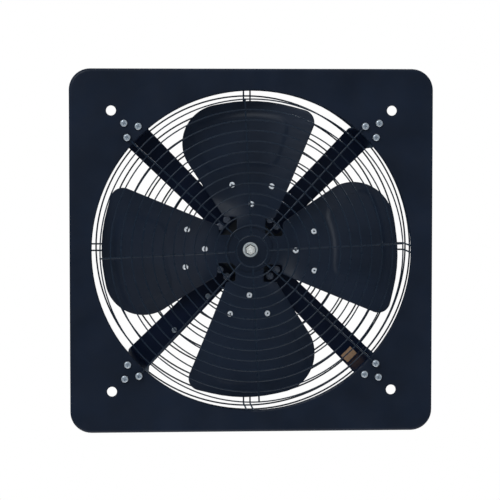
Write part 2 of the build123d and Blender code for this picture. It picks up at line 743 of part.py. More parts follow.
def front_shield():
    """Cast front shield: boss and bearing seat, ears, bolt holes and the hole for the lead's grommet."""
    seat_end = FRONT_BEARING_Y + BEARING_WIDTH
    inner_r = MOTOR_R - SHIELD_WALL
    spigot_r = MOTOR_R - HOUSING_SHEET - 0.05
    shell = turned(
        [
            (SHAFT_R + 1.0, BOSS_FRONT_Y),
            (BOSS_R - 2, BOSS_FRONT_Y),
            (BOSS_R, BOSS_FRONT_Y + 2),
            (BOSS_R, MOTOR_FRONT_Y),
            (MOTOR_R - 2, MOTOR_FRONT_Y),
            (MOTOR_R, MOTOR_FRONT_Y + 2),
            (MOTOR_R, FRONT_SHIELD_END_Y),
            (spigot_r, FRONT_SHIELD_END_Y),
            (spigot_r, FRONT_SHIELD_END_Y + 4),
            (inner_r, FRONT_SHIELD_END_Y + 4),
            (inner_r, MOTOR_FRONT_Y + 7),
            (BOSS_R, MOTOR_FRONT_Y + 7),
            (BOSS_R, seat_end),
            (BEARING_OUT_R, seat_end),
            (BEARING_OUT_R, FRONT_BEARING_Y),
            (BEARING_OUT_R - 3, FRONT_BEARING_Y),
            (BEARING_OUT_R - 3, FRONT_BEARING_Y - 2),
            (SHAFT_R + 1.0, FRONT_BEARING_Y - 2),
        ]
    )
    shell = shell + tie_ears(MOTOR_FRONT_Y + 3, FRONT_SHIELD_END_Y)
    holes = tie_bolt_holes(MOTOR_FRONT_Y, FRONT_SHIELD_END_Y + 1)
    bolt_hole = disc(M5_R + NUT_FIT, MOTOR_FRONT_Y - 1, MOTOR_FRONT_Y + 8)
    for angle in ARM_ANGLES.values():
        for side in (-ARM_BOLT_SIDE, ARM_BOLT_SIDE):
            holes.append(at_place(bolt_hole, ARM_BOLT_R, side, angle))
    holes.append(lead_exit_rod(MOTOR_R - 10, MOTOR_R + 5, GROMMET_R + WASHER_FIT))
    return shell - holes


def motor_housing():
    return tube(MOTOR_R, MOTOR_R - HOUSING_SHEET, FRONT_SHIELD_END_Y, REAR_SHIELD_START_Y)


def rear_shield():
    seat_end = REAR_BEARING_Y + BEARING_WIDTH + WAVE_SPRING_H + 0.2
    inner_r = MOTOR_R - SHIELD_WALL
    spigot_r = MOTOR_R - HOUSING_SHEET - 0.05
    shell = turned(
        [
            (spigot_r, REAR_SHIELD_START_Y - 4),
            (spigot_r, REAR_SHIELD_START_Y),
            (MOTOR_R, REAR_SHIELD_START_Y),
            (MOTOR_R, MOTOR_BACK_Y - 8),
            (MOTOR_R - 6, MOTOR_BACK_Y - 3),
            (BOSS_R + 3, MOTOR_BACK_Y - 3),
            (BOSS_R, MOTOR_BACK_Y),
            (0, MOTOR_BACK_Y),
            (0, seat_end + 1.5),
            (SHAFT_R + 4, seat_end + 1.5),
            (SHAFT_R + 4, seat_end),
            (BEARING_OUT_R, seat_end),
            (BEARING_OUT_R, REAR_BEARING_Y - 0.5),
            (BOSS_R, REAR_BEARING_Y - 0.5),
            (BOSS_R, MOTOR_BACK_Y - 7),
            (inner_r - 4, MOTOR_BACK_Y - 7),
            (inner_r, MOTOR_BACK_Y - 10),
            (inner_r, REAR_SHIELD_START_Y - 4),
        ]
    )
    ears_end = REAR_SHIELD_START_Y + TIE_EAR_LENGTH
    shell = shell + tie_ears(REAR_SHIELD_START_Y, ears_end)
    return shell - tie_bolt_holes(REAR_SHIELD_START_Y - 1, ears_end + 1)


def tie_bolts():
    head_back = MOTOR_FRONT_Y + 3
    nut_front = REAR_SHIELD_START_Y + TIE_EAR_LENGTH
    nut_back = nut_front + M4_NUT_H
    bolt = pan_screw(head_back, M4_R, nut_back + THREAD_SHOW, M4_HEAD_R, M4_HEAD_H)
    nut = hex_nut(M4_NUT_FLATS, nut_front, nut_back, M4_R + NUT_FIT)
    bolts = [at_place(bolt, TIE_BOLT_R, 0, angle) for angle in tie_bolt_angles()]
    nuts = [at_place(nut, TIE_BOLT_R, 0, angle) for angle in tie_bolt_angles()]
    return group(bolts), group(nuts)


def stator_slots(y_front, y_back, trim):
    slot = Pos(STATOR_BORE_R + 9.5, 0) * Rectangle(13 - trim, 4.2 - trim)
    return [turn(slab(slot, y_front, y_back), k * 360 / SLOT_COUNT) for k in range(SLOT_COUNT)]


def stator_core():
    outer_r = MOTOR_R - HOUSING_SHEET - 0.05
    core = tube(outer_r, STATOR_BORE_R, STATOR_FRONT_Y, STATOR_BACK_Y)
    return core - stator_slots(STATOR_FRONT_Y - 1, STATOR_BACK_Y + 1, 0.0)


def stator_windings():
    """Copper coils: a bundle at each end of the core, joined by the conductors in its slots."""
    bundle = Pos(STATOR_BORE_R + 9.5, 0) * RectangleRounded(13, 9, 3)
    ends = [
        revolve(Pos(0, STATOR_FRONT_Y - 5.5) * bundle, Axis.Y),
        revolve(Pos(0, STATOR_BACK_Y + 5.5) * bundle, Axis.Y),
    ]
    coils = ends[0] + ends[1]
    for bar in stator_slots(STATOR_FRONT_Y - 3, STATOR_BACK_Y + 3, 0.5):
        coils = coils + bar
    return coils


def rotor_core():
    return tube(STATOR_BORE_R - AIR_GAP, SHAFT_R + SHAFT_FIT, STATOR_FRONT_Y, STATOR_BACK_Y)


def rotor_end_rings():
    """Cast end rings of the rotor cage, with small stirring fins."""
    ring_r_out, ring_r_in = 30.0, 17.0
    pieces = []
    for inner_y, direction in ((STATOR_FRONT_Y, -1), (STATOR_BACK_Y, 1)):
        near, far = inner_y, inner_y + 5 * direction
        ring = tube(ring_r_out, ring_r_in, min(near, far), max(near, far))
        fin_y = (far, far + 4 * direction)
        fin = slab(Pos(24, 0) * Rectangle(9, 2), min(fin_y), max(fin_y))
        for k in range(8):
            ring = ring + turn(fin, 45 * k)
        pieces.append(ring)
    return group(pieces)


def wave_spring():
    y_front = REAR_BEARING_Y + BEARING_WIDTH + 0.05
    return tube(BEARING_OUT_R - 0.3, RACE_OUTER_R, y_front, y_front + WAVE_SPRING_H)


# ---------------------------------------------------------------- motor lead, clips and terminal box


def lead_route():
    """Corner points of the motor lead, from inside the motor to inside the terminal box."""
    angle = ARM_ANGLES["bottom_left"]
    gland_x, gland_y, gland_z = LEAD_GLAND_PLACE
    return [
        arm_point(angle, MOTOR_R - 9, LEAD_SIDE, LEAD_EXIT_Y),
        arm_point(angle, MOTOR_R + 8, LEAD_SIDE, LEAD_EXIT_Y),
        arm_point(angle, LEAD_LANDING_R, LEAD_SIDE, LEAD_REST_Y),
        arm_point(angle, LEAD_LEAVING_R, LEAD_SIDE, LEAD_REST_Y),
        *(arm_point(angle, r, LEAD_SIDE + shift, y) for r, shift, y in LEAD_BESIDE_CRANK),
        (gland_x + 20, gland_y, gland_z),
        (gland_x - 5, gland_y, gland_z),
    ]


def lead_path(points):
    """Straight runs joined by tangent arcs, each arc as large as its two runs allow."""
    corners = [Vector(*p) for p in points]
    edges, start = [], corners[0]
    for before, corner, after in zip(corners, corners[1:], corners[2:]):
        shorter = min((corner - before).length, (after - corner).length)
        turn_angle = radians((corner - before).get_angle(after - corner))
        reach = 0.45 * shorter
        radius = reach / tan(turn_angle / 2)
        print(f"lead arc radius {radius:.1f} mm")
        into = (corner - before).normalized()
        out_of = (after - corner).normalized()
        first, last = corner - into * reach, corner + out_of * reach
        bisector = (out_of - into).normalized()
        middle = corner + bisector * (radius / cos(turn_angle / 2) - radius)
        edges.append(Edge.make_line(start, first))
        edges.append(Edge.make_three_point_arc(first, middle, last))
        start = last
    edges.append(Edge.make_line(start, corners[-1]))
    return Wire(edges)


def motor_lead():
    path = lead_path(lead_route())
    section = Plane(origin=path @ 0, z_dir=path % 0) * Circle(LEAD_R)
    lead = sweep(section, path=path)
    print(f"lead length {path.length:.1f} mm, volume over section {lead.volume / (pi * LEAD_R**2):.1f} mm")
    return lead


def lead_exit_rod(r_start, r_end, radius):
    """A straight rod along the lead's way out of the motor, between two distances from the fan axis."""
    angle = ARM_ANGLES["bottom_left"]
    start = arm_point(angle, r_start, LEAD_SIDE, LEAD_EXIT_Y)
    end = arm_point(angle, r_end, LEAD_SIDE, LEAD_EXIT_Y)
    return rod(start, end, radius)


def lead_grommet():
    """Rubber grommet in the shield's wall, with a flange outside."""
    barrel = lead_exit_rod(MOTOR_R - SHIELD_WALL - 2, MOTOR_R + 2, GROMMET_R)
    flange = lead_exit_rod(MOTOR_R + 0.3, MOTOR_R + 2, GROMMET_FLANGE_R)
    return barrel + flange - lead_exit_rod(MOTOR_R - 15, MOTOR_R + 5, LEAD_R + LEAD_FIT)


def lead_clip(r):
    """A P-clip: a band round the lead with a tab under its screw's nut."""
    centre = Pos(LEAD_SIDE, LEAD_REST_Y)
    hole_r = LEAD_R + LEAD_FIT
    tab_length = CLIP_SCREW_SIDE + CLIP_TAB_END - LEAD_SIDE
    tab_centre = Pos(LEAD_SIDE + tab_length / 2, MOTOR_FRONT_Y + CLIP_SHEET / 2)
    tab = tab_centre * Rectangle(tab_length, CLIP_SHEET)
    profile = centre * Circle(hole_r + CLIP_SHEET) + tab - centre * Circle(hole_r)
    across = Plane(origin=(r - CLIP_WIDTH / 2, 0, 0), x_dir=(0, 0, 1), z_dir=(-1, 0, 0))
    clip = extrude(across * profile, amount=-CLIP_WIDTH)
    clip = clip - Pos(r, 0, CLIP_SCREW_SIDE) * disc(M4_HOLE_R, MOTOR_FRONT_Y - 1, MOTOR_FRONT_Y + 3)
    return turn(clip, ARM_ANGLES["bottom_left"])


def clip_fasteners():
    seat = ARM_FLAT_Y - ARM_THICK / 2
    nut_front = MOTOR_FRONT_Y + CLIP_SHEET
    angle = ARM_ANGLES["bottom_left"]
    nut_back = nut_front + M4_NUT_H
    screw = pan_screw(seat, M4_R, nut_back + THREAD_SHOW, M4_HEAD_R, M4_HEAD_H)
    nut = hex_nut(M4_NUT_FLATS, nut_front, nut_back, M4_R + NUT_FIT)
    screws = [at_place(screw, r, CLIP_SCREW_SIDE, angle) for r in CLIP_PLACES_R]
    nuts = [at_place(nut, r, CLIP_SCREW_SIDE, angle) for r in CLIP_PLACES_R]
    return group(screws), group(nuts)


def box_between(low, high):
    size = [h - l for l, h in zip(low, high)]
    middle = [(h + l) / 2 for l, h in zip(low, high)]
    return Pos(*middle) * Box(*size)


def lid_screw_places():
    return [(x, z) for x in LID_SCREW_X for z in LID_SCREW_Z]


def terminal_box():
    outer = box_between(BOX_LOW, BOX_HIGH)
    outer = fillet(outer.edges().filter_by(Axis.Y), BOX_CORNER_R)
    inner_low = [low + BOX_WALL for low in BOX_LOW]
    inner_high = (BOX_HIGH[0] - BOX_WALL, BOX_HIGH[1] + 1, BOX_HIGH[2] - BOX_WALL)
    box = outer - box_between(inner_low, inner_high)
    for x, z in lid_screw_places():
        box = box + disc(3.4, BOX_LOW[1] + BOX_WALL, BOX_HIGH[1], x, z)
        box = box - disc(LID_SCREW_R + NUT_FIT, BOX_HIGH[1] - 12, BOX_HIGH[1] + 1, x, z)
    for z in BOX_STUD_Z:
        box = box - disc(M4_HOLE_R, -1, BOX_WALL + 1, BOX_MID_X, z)
    box = box - gland_bore(LEAD_GLAND_PLACE, (1, 0, 0)) - gland_bore(SUPPLY_GLAND_PLACE, (0, 0, 1))
    return box


def gland_bore(place, direction):
    start = [p - 5 * d for p, d in zip(place, direction)]
    end = [p + 5 * d for p, d in zip(place, direction)]
    return rod(start, end, GLAND_THREAD_R + NUT_FIT)


def gland(place, direction):
    """A cable gland: thread through the wall, hexagon body, domed cap and an inner lock nut."""
    frame = Plane(origin=place, z_dir=direction)
    hexagon = RegularPolygon(GLAND_R, 6, major_radius=False)
    body_length, cap_length, nut_length = 4.0, 5.0, 2.0
    wall = BOX_WALL + 0.02
    thread = Pos(0, 0, -wall / 2) * Cylinder(GLAND_THREAD_R, wall + 2 * nut_length)
    body = extrude(hexagon, amount=body_length)
    cap = Pos(0, 0, body_length + cap_length / 2) * Cylinder(GLAND_R - 0.4, cap_length)
    cap = fillet(cap.faces().sort_by(Axis.Z)[-1].edges(), 2.0)
    nut = Pos(0, 0, -wall - nut_length) * extrude(hexagon, amount=nut_length)
    through = Cylinder(LEAD_R + NUT_FIT, 60)
    return frame * (thread + body + cap + nut - through)


def box_lid():
    low = (BOX_LOW[0], BOX_HIGH[1], BOX_LOW[2])
    high = (BOX_HIGH[0], BOX_HIGH[1] + LID_SHEET, BOX_HIGH[2])
    lid = fillet(box_between(low, high).edges().filter_by(Axis.Y), BOX_CORNER_R)
    for x, z in lid_screw_places():
        lid = lid - disc(LID_SCREW_R + 0.4, BOX_HIGH[1] - 1, BOX_HIGH[1] + LID_SHEET + 1, x, z)
    return lid


def lid_screws():
    """Pan-head screws into the box's corner pillars, heads at the back."""
    seat = BOX_HIGH[1] + LID_SHEET
    screw = Rot(180, 0, 0) * pan_screw(0, LID_SCREW_R, 12, 2.8, 2.0)
    return group(Pos(x, seat, z) * screw for x, z in lid_screw_places())


def box_fixings():
    studs = [disc(M4_R, 0, 8, BOX_MID_X, z) for z in BOX_STUD_Z]
    nut = hex_nut(M4_NUT_FLATS, BOX_WALL, BOX_WALL + M4_NUT_H, M4_R + NUT_FIT)
    nuts = [Pos(BOX_MID_X, 0, z) * nut for z in BOX_STUD_Z]
    return group(studs), group(nuts)


def terminal_block():
    """Three pairs of screw terminals in one moulded block."""
    half_x, back_y, low_z, high_z = 6.0, 13.0, -157.0, -145.0
    block = box_between((BOX_MID_X - half_x, BOX_WALL, low_z), (BOX_MID_X + half_x, back_y, high_z))
    for z in (-154.0, -151.0, -148.0):
        for side in (-3.0, 3.0):
            block = block - disc(1.0, back_y - 5, back_y + 1, BOX_MID_X + side, z)
    return block


def run_capacitor():
    half_x, front_y, back_y, low_z, high_z = 9.0, 11.0, 31.0, -134.0, -114.0
    can = box_between((BOX_MID_X - half_x, front_y, low_z), (BOX_MID_X + half_x, back_y, high_z))
    return fillet(can.edges().filter_by(Axis.Y), BOX_CORNER_R)


def inspection_label():
    radial, across, thick = LABEL_SIZE
    front = ARM_FLAT_Y - ARM_THICK / 2
    label = slab(Pos(*LABEL_PLACE) * Rectangle(radial, across), front - thick, front)
    return turn(label, ARM_ANGLES["bottom_right"])


# ---------------------------------------------------------------- writing


def main():
    os.makedirs("parts", exist_ok=True)
    write("mounting_plate", mounting_plate())
    for name, angle in ARM_ANGLES.items():
        write(f"arm_{name}", arm(angle))
    for name, shape in zip(("arm_screws", "arm_lock_washers", "arm_nuts"), arm_fasteners()):
        write(name, shape)
    for name, shape in zip(("arm_motor_bolts", "arm_motor_washers"), arm_motor_bolts()):
        write(name, shape)
    write("front_guard", front_guard())
    write("rear_guard", rear_guard())
    write("rear_guard_side_ring", rear_guard_side_ring())
    for name, shape in zip(("guard_studs", "guard_washers", "guard_nuts"), guard_fasteners()):
        write(name, shape)

    for number, angle in enumerate(BLADE_ANGLES, start=1):
        write(f"blade_{number}", blade(angle))
    write("blade_rivets", blade_rivets())
    write("hub_spider", hub_spider())
    write("hub_boss", hub_boss())
    write("hub_grub_screw", hub_grub_screw())
    write("hub_washer", hub_washer())
    write("hub_nut", hub_nut())
    write("motor_shaft", motor_shaft())

    for place, y_front in (("front", FRONT_BEARING_Y), ("rear", REAR_BEARING_Y)):
        for piece, shape in zip(("outer_ring", "inner_ring", "balls", "cage"), bearing(y_front)):
            write(f"{place}_bearing_{piece}", shape)
    write("motor_front_shield", front_shield())
    write("motor_housing", motor_housing())
    write("motor_rear_shield", rear_shield())
    for name, shape in zip(("motor_tie_bolts", "motor_tie_nuts"), tie_bolts()):
        write(name, shape)
    write("stator_core", stator_core())
    write("stator_windings", stator_windings())
    write("rotor_core", rotor_core())
    write("rotor_end_rings", rotor_end_rings())
    write("bearing_wave_spring", wave_spring())

    write("motor_lead", motor_lead())
    write("lead_grommet", lead_grommet())
    write("lead_clips", group(lead_clip(r) for r in CLIP_PLACES_R))
    for name, shape in zip(("clip_screws", "clip_nuts"), clip_fasteners()):
        write(name, shape)
    write("terminal_box", terminal_box())
    write("terminal_box_lid", box_lid())
    write("lid_screws", lid_screws())
    for name, shape in zip(("box_studs", "box_nuts"), box_fixings()):
        write(name, shape)
    write("lead_gland", gland(LEAD_GLAND_PLACE, (1, 0, 0)))
    write("supply_gland", gland(SUPPLY_GLAND_PLACE, (0, 0, 1)))
    write("terminal_block", terminal_block())
    write("run_capacitor", run_capacitor())
    write("inspection_label", inspection_label())


main()
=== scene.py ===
import json
import math

import bmesh
import bpy
from mathutils import Matrix, Vector
from mathutils.geometry import delaunay_2d_cdt


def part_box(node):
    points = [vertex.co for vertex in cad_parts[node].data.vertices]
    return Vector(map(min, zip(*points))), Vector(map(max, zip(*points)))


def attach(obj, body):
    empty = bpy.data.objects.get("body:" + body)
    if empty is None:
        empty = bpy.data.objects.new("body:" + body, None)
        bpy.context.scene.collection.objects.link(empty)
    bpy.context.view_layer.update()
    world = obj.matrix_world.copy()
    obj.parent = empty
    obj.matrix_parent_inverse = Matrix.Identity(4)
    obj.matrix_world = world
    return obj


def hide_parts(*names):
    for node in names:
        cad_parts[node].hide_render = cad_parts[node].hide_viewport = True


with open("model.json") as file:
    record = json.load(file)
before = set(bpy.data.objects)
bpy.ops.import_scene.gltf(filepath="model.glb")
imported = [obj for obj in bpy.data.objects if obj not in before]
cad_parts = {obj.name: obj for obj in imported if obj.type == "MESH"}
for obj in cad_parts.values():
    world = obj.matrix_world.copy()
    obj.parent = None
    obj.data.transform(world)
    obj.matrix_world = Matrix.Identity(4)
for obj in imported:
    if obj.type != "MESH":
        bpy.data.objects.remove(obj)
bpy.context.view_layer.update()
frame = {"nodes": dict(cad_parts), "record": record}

MM = 0.001

# Exhaust fan, seen from the guard side at azimuth 0. The fan axis is Y, +X is right and +Z is up.
# Angles are in degrees, counter-clockwise from +X as seen from the front.

# ---------------------------------------------------------------- shapes that the new meshes follow, in mm

# A blade is drawn along +X: "along" runs out from the axis, "side" is up, and the sheet is pitched later.
BLADE_ANGLES = (-1.7, 88.3, 178.3, 268.3)
BLADE_MID_Y = 34.0
BLADE_SHEET = 1.5
BLADE_ROOT_R = 30.3
BLADE_NECK_HALF = 19.0
BLADE_NECK_END = 43.0
TIP_R = 198.5
# Straight edges of the outline, as (slope, offset) of side = offset + slope * along.
STRAIGHT_EDGE = (-0.379, -14.7)
FLARED_EDGE = (0.698, 6.9)
BLADE_SIDE = 94.0
TIP_TANGENT_ANGLES = (-14.0, 12.0)
# Radii of the outline's corners, in order from the neck's lower end round the tip to its upper end.
OUTLINE_RADII = (3.0, 5.0, 17.0, TIP_R, 52.0, 50.0, 5.0, 3.0)
# Pitch of the sheet, as (along, angle).
PITCH_STATIONS = ((10, 0), (30, 3), (61, 22), (85.7, 23.5), (150, 18), (205, 13.5))

# The pressed panel that stands out from each blade.
PANEL_MID_R = 147.0
PANEL_HALF_LENGTH = 33.0
PANEL_MID_ANGLE = 7.0
PANEL_HALF_ANGLE = 22.0
PANEL_CORNER_R = 15.0
PANEL_RISE = 1.3
PANEL_SLOPE = 4.8

# The nut on the shaft's end.
NUT_FLATS = 13.0
NUT_FACE_FLATS = 10.6
NUT_CHAMFER_DEPTH = 1.6
NUT_FACE_EDGE = 0.25
NUT_HOLE_R = 4.05
NUT_HOLE_CHAMFER = 0.4
NUT_TURN = 4.0
NUT_STEPS_PER_SIDE = 8

# Fineness of the meshes. The two lattice gaps are parts of a mesh step.
MESH_STEP = 2.4
CORNER_STEP_ANGLE = 4.0
ROOT_ARC_STEPS = 12
LATTICE_END_GAP = 0.7
LATTICE_RIM_GAP = 0.62
SLOPE_PROBE = 0.4
RIM_PROBE = 0.5
RIM_ANGLES = (60, 30, 0, -30, -60)
JOIN_TOLERANCE = 1e-5
# delaunay_2d_cdt's code for keeping only the triangles inside the outline.
INSIDE_ONLY = 1

# ---------------------------------------------------------------- node helpers

# Most of a noise lies between these two values.
FACTOR_LOW = 0.3
FACTOR_HIGH = 0.7


def new_material(name):
    """A material with a Principled shader, ready to take procedural detail."""
    material = bpy.data.materials.new(name)
    material.use_nodes = True
    tree = material.node_tree
    tree.nodes.clear()
    output = tree.nodes.new("ShaderNodeOutputMaterial")
    shader = tree.nodes.new("ShaderNodeBsdfPrincipled")
    tree.links.new(shader.outputs["BSDF"], output.inputs["Surface"])
    return material, tree, shader


def object_coordinates(tree, scale=(1, 1, 1)):
    """The object's own coordinates, stretched by a scale on each axis."""
    coordinates = tree.nodes.new("ShaderNodeTexCoord")
    mapping = tree.nodes.new("ShaderNodeMapping")
    mapping.inputs["Scale"].default_value = scale
    tree.links.new(coordinates.outputs["Object"], mapping.inputs["Vector"])
    return mapping.outputs["Vector"]


def noise(tree, vector, scale, detail=3.0, roughness=0.5):
    """Noise of about 1/scale metres from one lump to the next."""
    node = tree.nodes.new("ShaderNodeTexNoise")
    node.inputs["Scale"].default_value = scale
    node.inputs["Detail"].default_value = detail
    node.inputs["Roughness"].default_value = roughness
    tree.links.new(vector, node.inputs["Vector"])
    return node.outputs["Fac"]


def ramp(tree, factor, stops):
    """Colour ramp from (position, colour) stops."""
    node = tree.nodes.new("ShaderNodeValToRGB")
    elements = node.color_ramp.elements
    while len(elements) < len(stops):
        elements.new(0.5)
    for element, (position, colour) in zip(elements, stops):
        element.position = position
        element.color = (*colour, 1.0)
    tree.links.new(factor, node.inputs["Fac"])
    return node.outputs["Color"]


def spread(tree, factor, low, high):
    """Map the middle of a factor's range to a range of values."""
    node = tree.nodes.new("ShaderNodeMapRange")
    node.inputs["From Min"].default_value = FACTOR_LOW
    node.inputs["From Max"].default_value = FACTOR_HIGH
    node.inputs["To Min"].default_value = low
    node.inputs["To Max"].default_value = high
    tree.links.new(factor, node.inputs["Value"])
    return node.outputs["Result"]


def bump(tree, shader, height, strength, distance, below=None):
    """Relief from a height, laid over the relief below it if there is one."""
    node = tree.nodes.new("ShaderNodeBump")
    node.inputs["Strength"].default_value = strength
    node.inputs["Distance"].default_value = distance
    tree.links.new(height, node.inputs["Height"])
    if below is not None:
        tree.links.new(below, node.inputs["Normal"])
    tree.links.new(node.outputs["Normal"], shader.inputs["Normal"])
    return node.outputs["Normal"]


def vary_colour(tree, shader, factor, colour, change, low=FACTOR_LOW, high=FACTOR_HIGH):
    """Base colour that follows a factor, from a little darker to a little lighter."""
    dark = tuple(c * (1 - change) for c in colour)
    light = tuple(c * (1 + change) for c in colour)
    tree.links.new(ramp(tree, factor, [(low, dark), (high, light)]), shader.inputs["Base Color"])


def vary_roughness(tree, shader, factor, roughness, below, above):
    """Roughness that follows a factor, from a little smoother to a little rougher."""
    tree.links.new(spread(tree, factor, roughness - below, roughness + above), shader.inputs["Roughness"])


# ---------------------------------------------------------------- materials

# Scales of the noises and waves, in lumps or bands per metre.
COAT_CLOUD = 14.0
COAT_RUBBED = 30.0
COAT_PEEL = 620.0
COAT_GRAIN = 2600.0
ZINC_MOTTLE = 420.0
ZINC_MARKS = 1500.0
METAL_STREAKS = 900.0
METAL_STAIN = 90.0
MOULDED_CLOUD = 60.0
MOULDED_GRAIN = 1800.0
SHEET_LINES = 320.0
COPPER_STRANDS = 260.0
PAPER_FIBRES = 700.0
PAPER_PULP = 1200.0
FLOOR_TINT = 3.0


def powder_coat(name, colour, roughness, peel=0.25, specular=0.5):
    """Baked powder coat: slight cloudiness, a fine orange peel and patches rubbed a little smoother."""
    material, tree, shader = new_material(name)
    vector = object_coordinates(tree)
    cloud = noise(tree, vector, COAT_CLOUD, detail=4.0)
    vary_colour(tree, shader, cloud, colour, change=0.2, low=0.32, high=0.68)
    rubbed = noise(tree, vector, COAT_RUBBED, detail=5.0, roughness=0.62)
    vary_roughness(tree, shader, rubbed, roughness, below=0.05, above=0.07)
    shader.inputs["Specular IOR Level"].default_value = specular
    fine = noise(tree, vector, COAT_GRAIN, detail=2.0)
    grain = bump(tree, shader, fine, strength=peel * 0.6, distance=0.03 * MM)
    coarse = noise(tree, vector, COAT_PEEL, detail=2.0)
    bump(tree, shader, coarse, strength=peel, distance=0.12 * MM, below=grain)
    return material


def zinc_plate(name, colour, roughness, metal):
    """Bright zinc: metal with a mottled passivation tint and fine handling marks."""
    material, tree, shader = new_material(name)
    vector = object_coordinates(tree)
    mottle = noise(tree, vector, ZINC_MOTTLE, detail=4.0, roughness=0.6)
    vary_colour(tree, shader, mottle, colour, change=0.16)
    vary_roughness(tree, shader, mottle, roughness, below=0.06, above=0.1)
    shader.inputs["Metallic"].default_value = metal
    marks = noise(tree, vector, ZINC_MARKS, detail=3.0)
    bump(tree, shader, marks, strength=0.18, distance=0.06 * MM)
    return material


def turned_metal(name, colour, roughness, grain_scale=(1, 1, 1), grain=0.2):
    """Machined or cast metal with a directional grain."""
    material, tree, shader = new_material(name)
    streaks = noise(tree, object_coordinates(tree, grain_scale), METAL_STREAKS, detail=3.0)
    stain = noise(tree, object_coordinates(tree), METAL_STAIN, detail=4.0)
    vary_colour(tree, shader, stain, colour, change=0.14)
    vary_roughness(tree, shader, streaks, roughness, below=0.06, above=0.1)
    shader.inputs["Metallic"].default_value = 1.0
    bump(tree, shader, streaks, strength=grain, distance=0.05 * MM)
    return material


def moulded(name, colour, roughness, grain=0.2, scale=MOULDED_GRAIN):
    """Moulded plastic or rubber with a fine tool grain."""
    material, tree, shader = new_material(name)
    vector = object_coordinates(tree)
    cloud = noise(tree, vector, MOULDED_CLOUD, detail=3.0)
    vary_colour(tree, shader, cloud, colour, change=0.12)
    vary_roughness(tree, shader, cloud, roughness, below=0.04, above=0.06)
    bump(tree, shader, noise(tree, vector, scale, detail=2.0), strength=grain, distance=0.08 * MM)
    return material


def laminations(name, colour):
    """A stack of thin electrical steel sheets, seen on edge as fine lines across the fan axis."""
    material, tree, shader = new_material(name)
    wave = tree.nodes.new("ShaderNodeTexWave")
    wave.bands_direction = "Y"
    wave.inputs["Scale"].default_value = SHEET_LINES
    wave.inputs["Distortion"].default_value = 0.4
    tree.links.new(object_coordinates(tree), wave.inputs["Vector"])
    vary_colour(tree, shader, wave.outputs["Fac"], colour, change=0.3, low=0.2, high=0.8)
    shader.inputs["Metallic"].default_value = 1.0
    shader.inputs["Roughness"].default_value = 0.5
    bump(tree, shader, wave.outputs["Fac"], strength=0.5, distance=0.1 * MM)
    return material


def enamelled_wire(name, colour):
    """Copper winding: strands laid round the bundle under a clear enamel."""
    material, tree, shader = new_material(name)
    wave = tree.nodes.new("ShaderNodeTexWave")
    wave.wave_type = "RINGS"
    wave.rings_direction = "Y"
    wave.inputs["Scale"].default_value = COPPER_STRANDS
    wave.inputs["Distortion"].default_value = 1.5
    wave.inputs["Detail"].default_value = 2.0
    tree.links.new(object_coordinates(tree), wave.inputs["Vector"])
    vary_colour(tree, shader, wave.outputs["Fac"], colour, change=0.35, low=0.1, high=0.9)
    shader.inputs["Metallic"].default_value = 0.7
    shader.inputs["Roughness"].default_value = 0.35
    bump(tree, shader, wave.outputs["Fac"], strength=0.8, distance=0.3 * MM)
    return material


def kraft_paper(name, colour):
    """A plain brown label with paper fibres."""
    material, tree, shader = new_material(name)
    fibres = noise(tree, object_coordinates(tree, (1, 1, 3)), PAPER_FIBRES, detail=5.0, roughness=0.65)
    vary_colour(tree, shader, fibres, colour, change=0.2)
    shader.inputs["Roughness"].default_value = 0.75
    pulp = noise(tree, object_coordinates(tree), PAPER_PULP, detail=4.0)
    bump(tree, shader, pulp, strength=0.3, distance=0.08 * MM)
    return material


SLOT_MATERIALS = {
    "plate_coat": powder_coat("plate_coat", (0.0042, 0.0088, 0.0202), 0.4, specular=0.2),
    "arm_coat": powder_coat("arm_coat", (0.0018, 0.0052, 0.0185), 0.34, peel=0.2, specular=0.16),
    "blade_coat": powder_coat("blade_coat", (0.0052, 0.0108, 0.0238), 0.42, specular=0.22),
    "guard_coat": powder_coat("guard_coat", (0.0055, 0.0115, 0.0225), 0.28, peel=0.12, specular=0.3),
    "zinc_plate": zinc_plate("zinc_plate", (0.54, 0.59, 0.64), 0.28, metal=0.7),
    "rivet_aluminium": zinc_plate("rivet_aluminium", (0.72, 0.76, 0.8), 0.36, metal=0.5),
    "hub_steel": turned_metal("hub_steel", (0.66, 0.65, 0.6), 0.34, (1, 40, 1)),
    "shield_casting": powder_coat("shield_casting", (0.012, 0.014, 0.018), 0.42, peel=0.4),
    "housing_coat": powder_coat("housing_coat", (0.010, 0.012, 0.016), 0.36, peel=0.2),
    "bearing_steel": turned_metal("bearing_steel", (0.5, 0.5, 0.52), 0.2, grain=0.08),
    "lamination_steel": laminations("lamination_steel", (0.2, 0.2, 0.22)),
    "rotor_aluminium": turned_metal("rotor_aluminium", (0.55, 0.55, 0.56), 0.42),
    "winding_copper": enamelled_wire("winding_copper", (0.5, 0.2, 0.08)),
    "lead_sheath": moulded("lead_sheath", (0.014, 0.014, 0.015), 0.45),
    "grommet_rubber": moulded("grommet_rubber", (0.016, 0.016, 0.017), 0.62, grain=0.3),
    "box_plastic": moulded("box_plastic", (0.016, 0.016, 0.018), 0.5, grain=0.45, scale=1100.0),
    "block_plastic": moulded("block_plastic", (0.5, 0.5, 0.46), 0.5),
    "capacitor_plastic": moulded("capacitor_plastic", (0.02, 0.02, 0.022), 0.28, grain=0.08),
    "label_paper": kraft_paper("label_paper", (0.29, 0.18, 0.105)),
}

